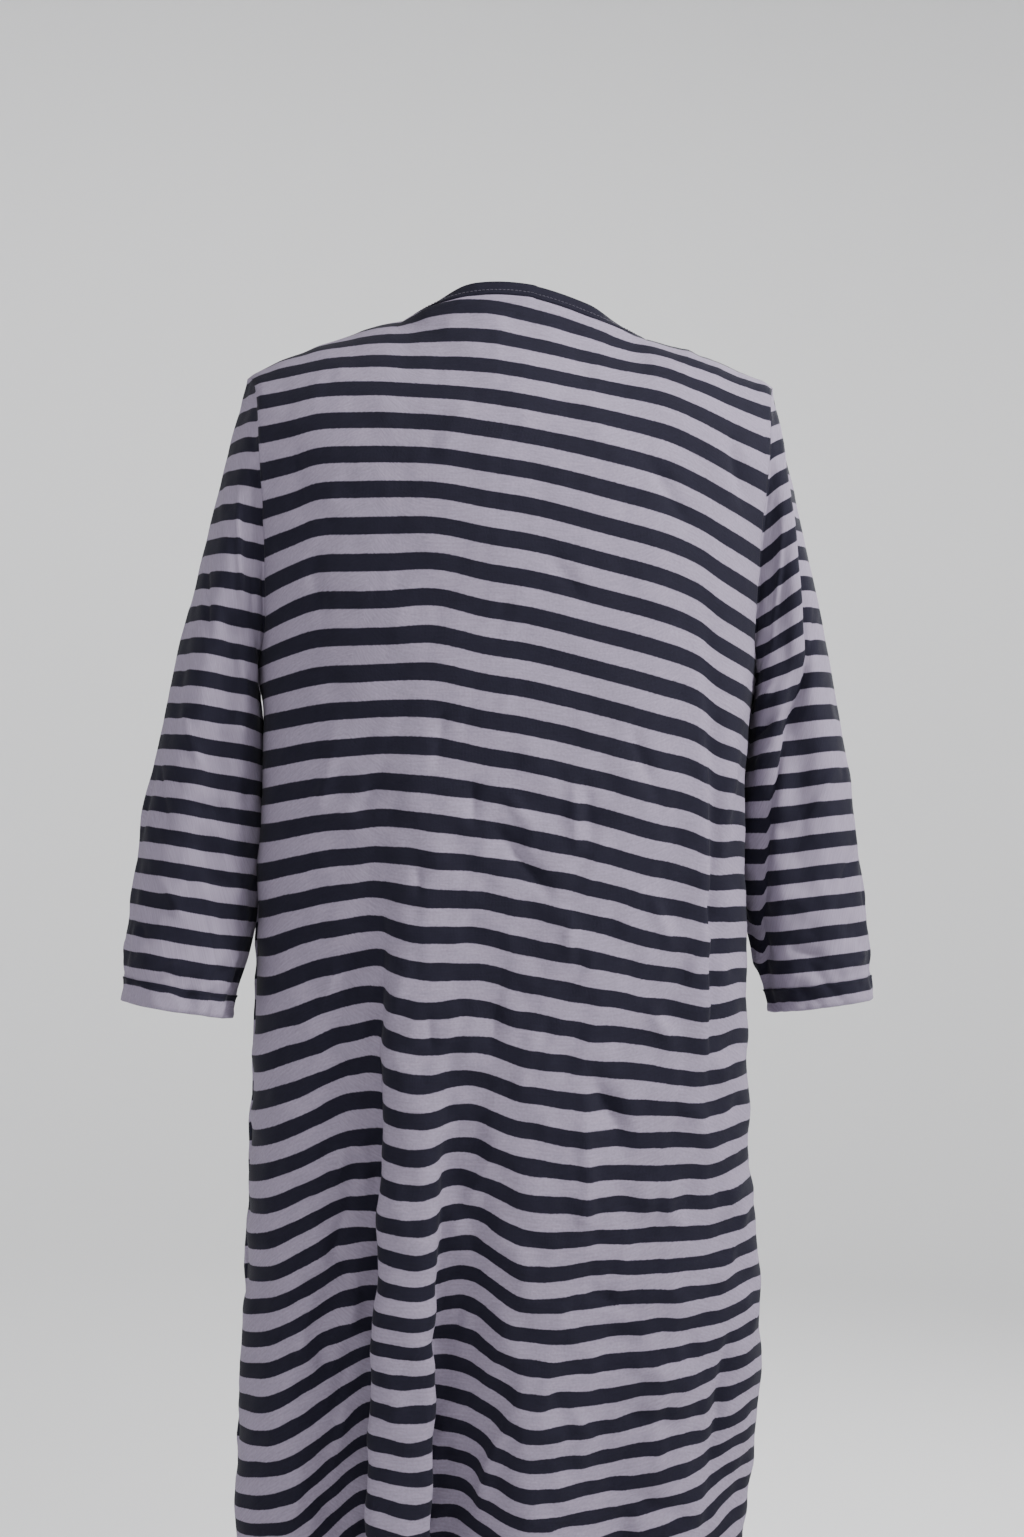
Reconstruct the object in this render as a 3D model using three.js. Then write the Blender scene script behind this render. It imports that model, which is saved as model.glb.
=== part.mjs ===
// Striped jersey tunic dress, hollow as worn: back, front, two sleeves and a neck binding.
// Millimetres, +Z up. The wearer faces -Y, so the back panel is on the +Y side and the wearer's
// left is +X. The origin is midway between the shoulders, where the wearer holds the dress up.

import * as THREE from 'three';

// Driving dimensions
const WALL = 1.5;
// How far each edge is drawn back from its seam: a set-in piece a little more than a panel
const PANEL_INSET = 0.16;
const SET_IN_INSET = 0.36;
const HEM_Z = -960;
const UNDERARM_Z = -258;

const NECK_HALF = 92;
const NECK_SHIFT = -9;
// Peak is how far the top of the neckline lies toward the wearer's left, as a share of its half
const BACK_NECK = { y: 58, z: 31, round: 0.9, rise: 3, peak: 0.15 };
const FRONT_NECK = { y: -86, z: -72, round: 0.85, rise: 1.4, peak: 0 };
const BINDING_HEIGHT = 9;
const BINDING_LEAN = 0.25;

// The dress sits a little askew: height of the shoulder seam at the neck and at the sleeve
const TIP_HALF = 207;
const SHOULDER = { left: { neckZ: 19, tipZ: -29 }, right: { neckZ: 12, tipZ: -20 } };
const SHOULDER_BOW = 1.3;

// Grid sizes: columns across the neck and each shoulder, rows beside the armhole and below it
const SHOULDER_COLUMNS = 13;
const BACK_NECK_COLUMNS = 22;
const FRONT_NECK_COLUMNS = 18;
const ARMHOLE_ROWS = 14;
const FLARE_ROWS = 3;
const SKIRT_ROWS = 11;
const SLEEVE_ROWS = 15;
const BINDING_ROWS = 2;

// Share of a half row that the neck takes at the top of a panel
const NECK_SHARE = 11 / 24;

// Torso sections from the underarm to the hem: half widths and the depth of back and front
const TORSO = [
  { z: -258, left: 187.5, right: 187.5, back: 99, front: 112 },
  { z: -330, left: 187, right: 184, back: 98, front: 118 },
  { z: -400, left: 187.5, right: 184, back: 96, front: 120 },
  { z: -500, left: 187.5, right: 187, back: 92, front: 120 },
  { z: -620, left: 188, right: 191, back: 88, front: 119 },
  { z: -740, left: 189, right: 200, back: 83, front: 118 },
  { z: -800, left: 190, right: 200, back: 79, front: 117 },
  { z: -880, left: 191, right: 191, back: 74, front: 115 },
  { z: -960, left: 190, right: 178, back: 69, front: 113 },
];

// Depth of the back and the front on the centre line, above the underarm
const CHEST = [
  { z: 40, back: 76, front: 70 },
  { z: -40, back: 88, front: 82 },
  { z: -100, back: 98, front: 94 },
  { z: -170, back: 101, front: 106 },
  { z: -258, back: 99, front: 112 },
];

// Beside the armhole, from the shoulder tip (share 0) to the underarm (share 1): half width of
// the rounded section, and how deep the armhole edge lies behind and before the shoulder line
const ARMHOLE = [
  { share: 0, half: 235, back: 50, front: -46 },
  { share: 0.2, half: 225, back: 50, front: -48 },
  { share: 0.45, half: 206, back: 45, front: -50 },
  { share: 0.7, half: 196, back: 38, front: -50 },
  { share: 0.9, half: 189.5, back: 34, front: -49 },
  { share: 1, half: 187.5, back: 32, front: -48 },
];
const SHOULDER_TURN = { back: { share: 0.36, round: 1 }, front: { share: 0.55, round: 0.6 } };
const UNDERARM_ROUND = 0.4;
const PANEL_ROUND = { back: 0.78, front: 0.85 };

// The side of the torso flares out to the underarm seam over this height
const FLARE = { height: 26, start: 0.84, out: 5, edge: 10 };

// Sleeve sections: the outer and inner line, and half the depth from back to front
const SLEEVE = [
  { outX: 207, outZ: -26, inX: 193, inZ: -258, depth: 51 },
  { outX: 220, outZ: -76, inX: 200, inZ: -268, depth: 54 },
  { outX: 231, outZ: -125, inX: 197, inZ: -286, depth: 56 },
  { outX: 243, outZ: -180, inX: 193.5, inZ: -312, depth: 56 },
  { outX: 256, outZ: -240, inX: 192.5, inZ: -350, depth: 55 },
  { outX: 268, outZ: -300, inX: 193, inZ: -395, depth: 53 },
  { outX: 278, outZ: -360, inX: 195.5, inZ: -435, depth: 50 },
  { outX: 286, outZ: -425, inX: 199, inZ: -472, depth: 47 },
  { outX: 291, outZ: -472, inX: 206, inZ: -500, depth: 45 },
  { outX: 293, outZ: -509, inX: 211, inZ: -521, depth: 43 },
];
// How each sleeve hangs: spread and lift move its cuff out and up, swing moves the cuff back and
// bow the middle of the sleeve
const SLEEVES = [
  { name: 'left_sleeve', side: 1, spread: -5, swing: 16, bow: -14, lift: 0 },
  { name: 'right_sleeve', side: -1, spread: 3, swing: -22, bow: -10, lift: 9 },
];
const CAP_BLEND = 0.32;

// Hanging folds of the panels: place and height at the top and at the hem end, width of the
// soft side toward the wearer's right and of the other side, and how far the ridge stands out
const BACK_FOLDS = [
  { topX: 66, topZ: -120, endX: 74, endZ: -980, right: 22, left: 18, out: 17 },
  { topX: 100, topZ: -400, endX: 104, endZ: -980, right: 14, left: 50, out: -30 },
  { topX: 40, topZ: -480, endX: 42, endZ: -980, right: 32, left: 14, out: -17 },
  { topX: -6, topZ: -430, endX: -16, endZ: -980, right: 24, left: 22, out: 13 },
  { topX: -52, topZ: -420, endX: -50, endZ: -980, right: 22, left: 26, out: 5 },
  { topX: -138, topZ: -90, endX: -150, endZ: -560, right: 14, left: 22, out: -8 },
  { topX: -190, topZ: -150, endX: -140, endZ: -500, right: 9, left: 28, out: 10 },
  { topX: -122, topZ: -500, endX: -126, endZ: -980, right: 24, left: 30, out: 8 },
  { topX: 150, topZ: -480, endX: 148, endZ: -980, right: 24, left: 26, out: 9 },
];
const FRONT_FOLDS = [
  { topX: 96, topZ: -330, endX: 112, endZ: -980, right: 26, left: 26, out: 12 },
  { topX: 60, topZ: -420, endX: 66, endZ: -980, right: 22, left: 18, out: -11 },
  { topX: 14, topZ: -380, endX: 6, endZ: -980, right: 30, left: 26, out: 9 },
  { topX: -44, topZ: -460, endX: -54, endZ: -980, right: 22, left: 20, out: -12 },
  { topX: -96, topZ: -310, endX: -108, endZ: -980, right: 28, left: 28, out: 12 },
  { topX: -148, topZ: -500, endX: -156, endZ: -980, right: 18, left: 24, out: -8 },
  { topX: 150, topZ: -520, endX: 158, endZ: -980, right: 22, left: 18, out: -7 },
];

// Lengthwise folds of a sleeve: turn round the sleeve in degrees from its outer line toward the
// back, the shares of the length where it starts and ends, its width and how far it stands out
const SLEEVE_FOLDS = [
  { turn: 62, start: 0.06, end: 0.7, width: 20, out: 4 },
  { turn: 96, start: 0.1, end: 0.8, width: 18, out: -6 },
  { turn: 128, start: 0.45, end: 1.2, width: 16, out: 3.5 },
  { turn: 205, start: 0.1, end: 0.7, width: 24, out: -4 },
  { turn: 285, start: 0.2, end: 0.95, width: 22, out: -4 },
];

const BACK_COLOR = '#6f6c7c';
const FRONT_COLOR = '#8a8796';
const SLEEVE_COLOR = '#7d7989';
const BINDING_COLOR = '#2a2835';

const clamp01 = (value) => Math.min(1, Math.max(0, value));
const mix = (a, b, t) => a + (b - a) * t;
const smooth = (t) => {
  const s = clamp01(t);
  return s * s * (3 - 2 * s);
};
const quarterRound = (t) => Math.sqrt(1 - (1 - clamp01(t)) ** 2);

// Reads a column of a table at a place between its rows, as a smooth curve through them
function read(table, key, place, column) {
  const ascending = table[table.length - 1][key] > table[0][key];
  const along = (row) => (ascending ? row[key] : -row[key]);
  const at = ascending ? place : -place;
  let index = 0;
  while (index < table.length - 2 && along(table[index + 1]) < at) index += 1;
  const before = table[Math.max(0, index - 1)];
  const from = table[index];
  const to = table[index + 1];
  const after = table[Math.min(table.length - 1, index + 2)];
  const span = along(to) - along(from);
  const t = clamp01((at - along(from)) / span);
  const slopeFrom = ((to[column] - before[column]) / (along(to) - along(before))) * span;
  const slopeTo = ((after[column] - from[column]) / (along(after) - along(from))) * span;
  const t2 = t * t;
  const t3 = t2 * t;
  return (2 * t3 - 3 * t2 + 1) * from[column] + (t3 - 2 * t2 + t) * slopeFrom
    + (3 * t2 - 2 * t3) * to[column] + (t3 - t2) * slopeTo;
}

// How far the folds move the cloth out at a point of a panel
function foldHeight(folds, x, z) {
  return folds.reduce((sum, fold) => {
    const drop = (fold.topZ - z) / (fold.topZ - fold.endZ);
    if (drop <= 0 || drop >= 1.15) return sum;
    const offset = x - mix(fold.topX, fold.endX, clamp01(drop));
    const width = (offset > 0 ? fold.left : fold.right) * mix(1.5, 1, smooth(drop));
    const fade = fold.endZ < HEM_Z ? 1 : 1 - smooth((drop - 0.6) / 0.4);
    return sum + fold.out * smooth(drop * 1.25) * fade * Math.exp(-((offset / width) ** 2));
  }, 0);
}

// Half-row positions of a panel's columns, from the wearer's right (-1) to the left (+1)
function columnPlaces(neckColumns) {
  const places = [];
  for (let i = 0; i < SHOULDER_COLUMNS; i += 1) {
    places.push(-1 + ((1 - NECK_SHARE) * i) / SHOULDER_COLUMNS);
  }
  for (let i = 0; i <= neckColumns; i += 1) {
    places.push(NECK_SHARE * ((2 * i) / neckColumns - 1));
  }
  for (let i = 1; i <= SHOULDER_COLUMNS; i += 1) {
    places.push(NECK_SHARE + ((1 - NECK_SHARE) * i) / SHOULDER_COLUMNS);
  }
  return places;
}

// The top edge of a panel: the neckline in the middle, a shoulder seam on each side
function topEdge(place, neck) {
  const reach = Math.abs(place);
  const side = Math.sign(place);
  const { neckZ, tipZ } = SHOULDER[place < 0 ? 'right' : 'left'];
  if (reach >= NECK_SHARE - 1e-9) {
    const along = (reach - NECK_SHARE) / (1 - NECK_SHARE);
    const x = side * mix(NECK_HALF, TIP_HALF, along) + NECK_SHIFT * (1 - along);
    return new THREE.Vector3(x, 0, mix(neckZ, tipZ, along ** SHOULDER_BOW));
  }
  const across = place / NECK_SHARE;
  const fromPeak = Math.abs(across - neck.peak * (1 - across * across));
  const cosine = clamp01(Math.cos((fromPeak * Math.PI) / 2));
  const x = NECK_HALF * Math.sin((across * Math.PI) / 2) + NECK_SHIFT;
  return new THREE.Vector3(x, neck.y * cosine ** neck.round, mix(neckZ, neck.z, cosine ** neck.rise));
}

// A row's share of the way down to the underarm: close together at both ends of the armhole
// edge, and further in only close together at the shoulder
function rowShare(row, place) {
  const even = row / ARMHOLE_ROWS;
  const edge = (1 - Math.cos(Math.PI * even)) / 2;
  const inner = 1 - Math.cos((Math.PI * even) / 2);
  return mix(inner, edge, Math.abs(place) ** 5);
}

// Depth of the armhole edge below its rounded shoulder end
function armholeDepth(share, face) {
  const under = clamp01((share - (1 - UNDERARM_ROUND)) / UNDERARM_ROUND);
  return read(ARMHOLE, 'share', share, face) * Math.sqrt(1 - under * under);
}

// A point of the back or front panel beside the armhole: from the top edge the cloth turns over
// the shoulder onto the same rounded section as below, cut off where the armhole edge lies
function upperPoint(place, share, face, neck) {
  const top = topEdge(place, neck);
  const z = mix(top.z, UNDERARM_Z, share);
  const sign = face === 'back' ? 1 : -1;
  const depth = read(CHEST, 'z', mix(neck.z, UNDERARM_Z, share), face);
  const edgeDepth = Math.abs(armholeDepth(share, face)) / depth;
  const endAngle = Math.acos(clamp01(edgeDepth) ** (1 / PANEL_ROUND[face]));
  const angle = Math.abs(place) * endAngle;
  const over = clamp01(share / SHOULDER_TURN[face].share);
  const ridge = SHOULDER_TURN[face].round * clamp01(Math.abs(place) / NECK_SHARE) ** 2;
  const turn = mix(Math.sin((over * Math.PI) / 2), quarterRound(over), ridge);
  const y = mix(top.y, sign * depth * Math.cos(angle) ** PANEL_ROUND[face], turn);
  const flareEdge = FLARE.out * smooth((share - FLARE.start) / (1 - FLARE.start));
  const side = Math.sign(place);
  const wide = side * read(ARMHOLE, 'share', share, 'half') * Math.sin(angle);
  const flare = side * flareEdge * Math.abs(place) ** FLARE.edge;
  return new THREE.Vector3(mix(top.x, wide, turn) + flare, y, z);
}

// A point of the back or front panel between the underarm and the hem
function lowerPoint(place, z, face) {
  const side = place < 0 ? 'right' : 'left';
  const reach = Math.abs(place);
  const flare = FLARE.out * reach ** FLARE.edge * (1 - smooth((UNDERARM_Z - z) / FLARE.height));
  const x = read(TORSO, 'z', z, side) * Math.sin((reach * Math.PI) / 2) + flare;
  const sign = face === 'back' ? 1 : -1;
  const across = Math.cos((place * Math.PI) / 2) ** PANEL_ROUND[face];
  return new THREE.Vector3(Math.sign(place) * x, sign * read(TORSO, 'z', z, face) * across, z);
}

// Height of a row below the underarm: close together over the flare, then even to the hem
function rowHeight(row) {
  const flareEnd = UNDERARM_Z - FLARE.height;
  if (row <= FLARE_ROWS) return mix(UNDERARM_Z, flareEnd, (row / FLARE_ROWS) ** 1.2);
  return mix(flareEnd, HEM_Z, (row - FLARE_ROWS) / SKIRT_ROWS);
}

// The grid of a panel's middle surface, rows from the top edge to the hem
function panelGrid(face, neck, neckColumns, folds) {
  const places = columnPlaces(neckColumns);
  const sign = face === 'back' ? 1 : -1;
  const grid = [];
  for (let row = 0; row <= ARMHOLE_ROWS + FLARE_ROWS + SKIRT_ROWS; row += 1) {
    grid.push(places.map((place) => {
      const point = row <= ARMHOLE_ROWS
        ? upperPoint(place, rowShare(row, place), face, neck)
        : lowerPoint(place, rowHeight(row - ARMHOLE_ROWS), face);
      const inside = Math.cos((place * Math.PI) / 2) ** 0.5;
      point.y += sign * foldHeight(folds, point.x, point.z) * (Math.abs(place) < 1 ? inside : 0);
      return point;
    }));
  }
  return grid;
}

// The grid of a sleeve's middle surface, rows from the armhole to the cuff, closed round
function sleeveGrid({ side, spread, swing, bow, lift }, backGrid, frontGrid) {
  const edgeColumn = (grid) => (side > 0 ? grid[0].length - 1 : 0);
  const loop = [];
  for (let row = 0; row <= ARMHOLE_ROWS; row += 1) {
    loop.push(backGrid[row][edgeColumn(backGrid)]);
  }
  for (let row = ARMHOLE_ROWS - 1; row > 0; row -= 1) {
    loop.push(frontGrid[row][edgeColumn(frontGrid)]);
  }
  const sections = SLEEVE.map((section, index) => ({ ...section, index }));
  const tube = (turn, t) => {
    const at = t * (SLEEVE.length - 1);
    const value = (column) => read(sections, 'index', at, column);
    const lengthways = Math.cos(turn);
    const out = SLEEVE_FOLDS.reduce((sum, fold) => {
      const share = (t - fold.start) / (fold.end - fold.start);
      const turned = Math.atan2(Math.sin(turn - (fold.turn * Math.PI) / 180),
        Math.cos(turn - (fold.turn * Math.PI) / 180));
      const bell = Math.exp(-(((turned * 60) / fold.width) ** 2));
      return share <= 0 || share >= 1 ? sum : sum + fold.out * Math.sin(share * Math.PI) * bell;
    }, 0);
    const centreX = (value('outX') + value('inX')) / 2 + spread * t * t;
    const centreY = swing * t * t + bow * Math.sin(Math.PI * t);
    const centreZ = (value('outZ') + value('inZ')) / 2 + lift * t * t;
    const halfX = (value('outX') - value('inX')) / 2;
    const halfZ = (value('outZ') - value('inZ')) / 2;
    const size = 1 + out / 48;
    return new THREE.Vector3(
      side * (centreX + halfX * lengthways * size),
      centreY + value('depth') * Math.sin(turn) * size,
      centreZ + halfZ * lengthways,
    );
  };
  const count = loop.length;
  const grid = [];
  for (let row = 0; row <= SLEEVE_ROWS; row += 1) {
    const t = (row / SLEEVE_ROWS) ** 1.12;
    const hold = 1 - smooth(t / CAP_BLEND);
    grid.push(loop.map((seam, column) => {
      const turn = (column / count) * Math.PI * 2;
      const shift = seam.clone().sub(tube(turn, 0)).multiplyScalar(hold);
      return tube(turn, t).add(shift);
    }));
  }
  return grid;
}

// The neck binding's grid: one row on the neckline, the others standing up from it
function bindingGrid(backGrid, frontGrid) {
  const neckPart = (grid) => grid[0].slice(SHOULDER_COLUMNS, grid[0].length - SHOULDER_COLUMNS);
  const back = neckPart(backGrid);
  const front = neckPart(frontGrid).reverse().slice(1, -1);
  const loop = back.concat(front);
  const grid = [loop];
  for (let row = 1; row <= BINDING_ROWS; row += 1) {
    const height = (BINDING_HEIGHT * row) / BINDING_ROWS;
    grid.push(loop.map((point, index) => {
      const before = loop[(index + loop.length - 1) % loop.length];
      const after = loop[(index + 1) % loop.length];
      const along = after.clone().sub(before).normalize();
      const rise = new THREE.Vector3(NECK_SHIFT - point.x, -point.y, 0).normalize();
      rise.multiplyScalar(BINDING_LEAN).add(new THREE.Vector3(0, 0, 1));
      rise.addScaledVector(along, -rise.dot(along)).normalize();
      return point.clone().addScaledVector(rise, height);
    }));
  }
  return grid;
}

// Outward normals shared by all pieces, so that walls which meet at a seam stay parallel
const normals = new Map();
const pointKey = (point) => point.toArray().map((value) => Math.round(value * 1000)).join(' ');

function quads(grid, closed) {
  const list = [];
  const columns = grid[0].length;
  for (let row = 0; row < grid.length - 1; row += 1) {
    for (let column = 0; column < (closed ? columns : columns - 1); column += 1) {
      const next = (column + 1) % columns;
      list.push([[row, column], [row, next], [row + 1, next], [row + 1, column]]);
    }
  }
  return list;
}

function gatherNormals(grid, closed, flip) {
  quads(grid, closed).forEach((corners) => {
    const [a, b, c, d] = corners.map(([row, column]) => grid[row][column]);
    const across = c.clone().sub(a);
    const down = d.clone().sub(b);
    const normal = across.cross(down).normalize().multiplyScalar(flip ? -1 : 1);
    [a, b, c, d].forEach((point) => {
      const key = pointKey(point);
      const sum = normals.get(key) ?? new THREE.Vector3();
      normals.set(key, sum.add(normal));
    });
  });
}

// A grid's points with the border drawn back from the seams
function insetGrid(grid, closed) {
  const inset = closed ? SET_IN_INSET : PANEL_INSET;
  const rows = grid.length;
  const columns = grid[0].length;
  const at = (row, column) => grid[row][closed ? (column + columns) % columns : column];
  const inward = (point, inner, before, after) => {
    const along = after.clone().sub(before).normalize();
    const step = inner.clone().sub(point);
    step.addScaledVector(along, -step.dot(along));
    return step.normalize().multiplyScalar(inset);
  };
  return grid.map((line, row) => line.map((point, column) => {
    const moved = point.clone();
    const left = closed ? column - 1 : Math.max(0, column - 1);
    const right = closed ? column + 1 : Math.min(columns - 1, column + 1);
    if (row === 0) moved.add(inward(point, at(1, column), at(0, left), at(0, right)));
    if (row === rows - 1) {
      moved.add(inward(point, at(row - 1, column), at(row, left), at(row, right)));
    }
    if (!closed && (column === 0 || column === columns - 1)) {
      const inner = column === 0 ? 1 : columns - 2;
      const up = at(Math.max(0, row - 1), column);
      const down = at(Math.min(rows - 1, row + 1), column);
      moved.add(inward(point, at(row, inner), up, down));
    }
    return moved;
  }));
}

// One closed body: the outer and inner faces of the cloth, and the walls round its edges
function clothBody({ name, grid, closed, flip, color }) {
  const drawnIn = insetGrid(grid, closed);
  const columns = grid[0].length;
  const rows = grid.length;
  const positions = [];
  [1, -1].forEach((face) => {
    grid.forEach((line, row) => line.forEach((point, column) => {
      const normal = normals.get(pointKey(point)).clone().normalize();
      const moved = drawnIn[row][column].clone().addScaledVector(normal, (face * WALL) / 2);
      positions.push(...moved.toArray());
    }));
  });
  const outer = (row, column) => row * columns + (column % columns);
  const inner = (row, column) => rows * columns + outer(row, column);
  const triangles = [];
  const spot = (index) => new THREE.Vector3().fromArray(positions, index * 3);
  const addQuad = (...corners) => {
    const [a, b, c, d] = flip ? corners.reverse() : corners;
    const acrossA = spot(a).distanceTo(spot(c));
    const acrossB = spot(b).distanceTo(spot(d));
    const split = acrossA < acrossB ? [a, b, c, a, c, d] : [b, c, d, b, d, a];
    triangles.push(...split);
  };
  quads(grid, closed).forEach((corners) => {
    const [a, b, c, d] = corners;
    addQuad(outer(...a), outer(...b), outer(...c), outer(...d));
    addQuad(inner(...a), inner(...d), inner(...c), inner(...b));
  });
  const columnSteps = closed ? columns : columns - 1;
  for (let column = 0; column < columnSteps; column += 1) {
    const next = column + 1;
    addQuad(outer(0, next), outer(0, column), inner(0, column), inner(0, next));
    addQuad(outer(rows - 1, column), outer(rows - 1, next), inner(rows - 1, next), inner(rows - 1, column));
  }
  if (!closed) {
    for (let row = 0; row < rows - 1; row += 1) {
      addQuad(outer(row, 0), outer(row + 1, 0), inner(row + 1, 0), inner(row, 0));
      const last = columns - 1;
      addQuad(outer(row + 1, last), outer(row, last), inner(row, last), inner(row + 1, last));
    }
  }
  const geometry = new THREE.BufferGeometry();
  geometry.setAttribute('position', new THREE.Float32BufferAttribute(positions, 3));
  geometry.setIndex(triangles);
  geometry.computeVertexNormals();
  const material = new THREE.MeshStandardMaterial({ color, roughness: 0.9, metalness: 0 });
  const mesh = new THREE.Mesh(geometry, material);
  mesh.name = name;
  return mesh;
}

const backGrid = panelGrid('back', BACK_NECK, BACK_NECK_COLUMNS, BACK_FOLDS);
const frontGrid = panelGrid('front', FRONT_NECK, FRONT_NECK_COLUMNS, FRONT_FOLDS);
const pieces = [
  { name: 'back_panel', grid: backGrid, closed: false, flip: false, color: BACK_COLOR },
  { name: 'front_panel', grid: frontGrid, closed: false, flip: true, color: FRONT_COLOR },
  ...SLEEVES.map((sleeve) => ({
    name: sleeve.name,
    grid: sleeveGrid(sleeve, backGrid, frontGrid),
    closed: true,
    flip: sleeve.side > 0,
    color: SLEEVE_COLOR,
  })),
  {
    name: 'neck_binding',
    grid: bindingGrid(backGrid, frontGrid),
    closed: true,
    flip: true,
    color: BINDING_COLOR,
  },
];
pieces.forEach((piece) => gatherNormals(piece.grid, piece.closed, piece.flip));

const group = new THREE.Group();
pieces.forEach((piece) => group.add(clothBody(piece)));

export default group;
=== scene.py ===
# Striped jersey tunic dress, hollow as worn, seen from behind.
# Lengths in the tables are millimetres in the part's own frame: +Z up, the wearer faces -Y and the
# wearer's left is +X. The same named sizes as the solids' give the cloth its place.

import math

import bpy
import numpy as np
from mathutils import Matrix, Vector


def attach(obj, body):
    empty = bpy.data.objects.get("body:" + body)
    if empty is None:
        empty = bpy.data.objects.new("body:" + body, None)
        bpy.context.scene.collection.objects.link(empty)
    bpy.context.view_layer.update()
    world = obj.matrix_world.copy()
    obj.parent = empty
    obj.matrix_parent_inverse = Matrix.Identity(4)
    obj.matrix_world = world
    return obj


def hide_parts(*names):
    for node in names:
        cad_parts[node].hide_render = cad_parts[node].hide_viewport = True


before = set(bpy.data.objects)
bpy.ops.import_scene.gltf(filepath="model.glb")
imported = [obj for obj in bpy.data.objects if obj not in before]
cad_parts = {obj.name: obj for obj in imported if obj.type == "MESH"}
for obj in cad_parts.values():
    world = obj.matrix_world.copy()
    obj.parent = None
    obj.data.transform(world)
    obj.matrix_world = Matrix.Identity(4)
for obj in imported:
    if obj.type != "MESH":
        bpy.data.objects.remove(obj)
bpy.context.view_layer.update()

MM = 0.001
CLOTH_THICK = 0.8

# Driving sizes of the cut, as in the solids
HEM_Z = -960
UNDERARM_Z = -258
NECK_HALF = 92
NECK_SHIFT = -9
NECK = {
    "back": {"y": 58, "z": 31, "round": 0.9, "rise": 3, "peak": 0.15},
    "front": {"y": -86, "z": -72, "round": 0.85, "rise": 1.4, "peak": 0},
}
TIP_HALF = 207
SHOULDER = {"left": (19, -29), "right": (12, -20)}
SHOULDER_BOW = 1.3
NECK_SHARE = 11 / 24
OUTWARD = {"back": 1, "front": -1}

# Grid sizes of the fine cloth
NECK_COLUMNS = {"back": (48, 72), "front": (46, 46)}
SHOULDER_COLUMNS = 46
ARMHOLE_ROWS = 72
SKIRT_ROWS = 136
HEM_ROWS = 14
HEM_MARGIN = 8
SLEEVE_ROWS = 112
CUFF_ROWS = 14
CUFF_START = 0.92
SLEEVE_ROW_EASE = 1.12

# Turned-up edges: depth of the hem and the cuffs, how far their inner layer lies inside, how far
# the fold reaches below them, and the places of the two rows of stitches below the inner layer's top
TURN_UP = {"hem": 20, "cuff": 18}
TURN_UP_ROWS = 9
LAYER_STEP = 1.3
FOLD_DROP = 0.5
TWIN_INSETS = (1.5, 5.5)

# Stitches: length, distance from one to the next, thread radius, and height above the cloth
STITCH = {"length": 2.4, "pitch": 3.1, "radius": 0.24, "height": 0.42, "arch": 0.28, "sides": 6}
STITCH_SHARES = (0, 0.2, 0.5, 0.8, 1)
STITCH_WIDTHS = (0.35, 0.9, 1, 0.9, 0.35)

# The neck binding: half its thickness, its height, how far it reaches below the neck edge, the
# height of its stitches, and how far it leans in at the middle and at the sides of the neck
BINDING = {"half": 1.15, "height": 9, "below": -2.5, "sewn": 1.6}
BINDING_LEAN = {"middle": 0.25, "side": 1.8}

# Torso sections from the underarm to the hem
TORSO = {
    "z": [-258, -330, -400, -500, -620, -740, -800, -880, -960],
    "left": [187.5, 187, 187.5, 187.5, 188, 189, 190, 191, 190],
    "right": [187.5, 184, 184, 187, 191, 200, 200, 191, 178],
    "back": [99, 98, 96, 92, 88, 83, 79, 74, 69],
    "front": [112, 118, 120, 120, 119, 118, 117, 115, 113],
}

# Depth of the back and the front on the centre line, above the underarm
CHEST = {
    "z": [40, -40, -100, -170, -258],
    "back": [76, 88, 98, 101, 99],
    "front": [70, 82, 94, 106, 112],
}

# Beside the armhole, from the shoulder tip (share 0) to the underarm (share 1)
ARMHOLE = {
    "share": [0, 0.2, 0.45, 0.7, 0.9, 1],
    "half": [235, 225, 206, 196, 189.5, 187.5],
    "back": [50, 50, 45, 38, 34, 32],
    "front": [-46, -48, -50, -50, -49, -48],
}
SHOULDER_TURN = {"back": (0.36, 1), "front": (0.55, 0.6)}
UNDERARM_ROUND = 0.4
PANEL_ROUND = {"back": 0.78, "front": 0.85}
FLARE = {"height": 26, "start": 0.84, "out": 5, "edge": 10}

# Sleeve sections: the outer and inner line, and half the depth from back to front
SLEEVE = {
    "index": [0, 1, 2, 3, 4, 5, 6, 7, 8, 9],
    "out_x": [207, 220, 231, 243, 256, 268, 278, 286, 291, 293],
    "out_z": [-26, -76, -125, -180, -240, -300, -360, -425, -472, -509],
    "in_x": [193, 193, 189.5, 187, 186.2, 186.6, 190, 197, 206, 211],
    "in_z": [-258, -268, -286, -312, -350, -395, -435, -472, -500, -521],
    "depth": [51, 54, 56, 56, 55, 53, 50, 47, 45, 43],
}
SLEEVES = {
    "left": {"side": 1, "spread": -5, "swing": 16, "bow": -14, "lift": 0},
    "right": {"side": -1, "spread": 3, "swing": -22, "bow": -10, "lift": 9},
}
CAP_BLEND = 0.32
SLEEVE_RADIUS = 60
SLEEVE_HALF_DEPTH = 48

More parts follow.
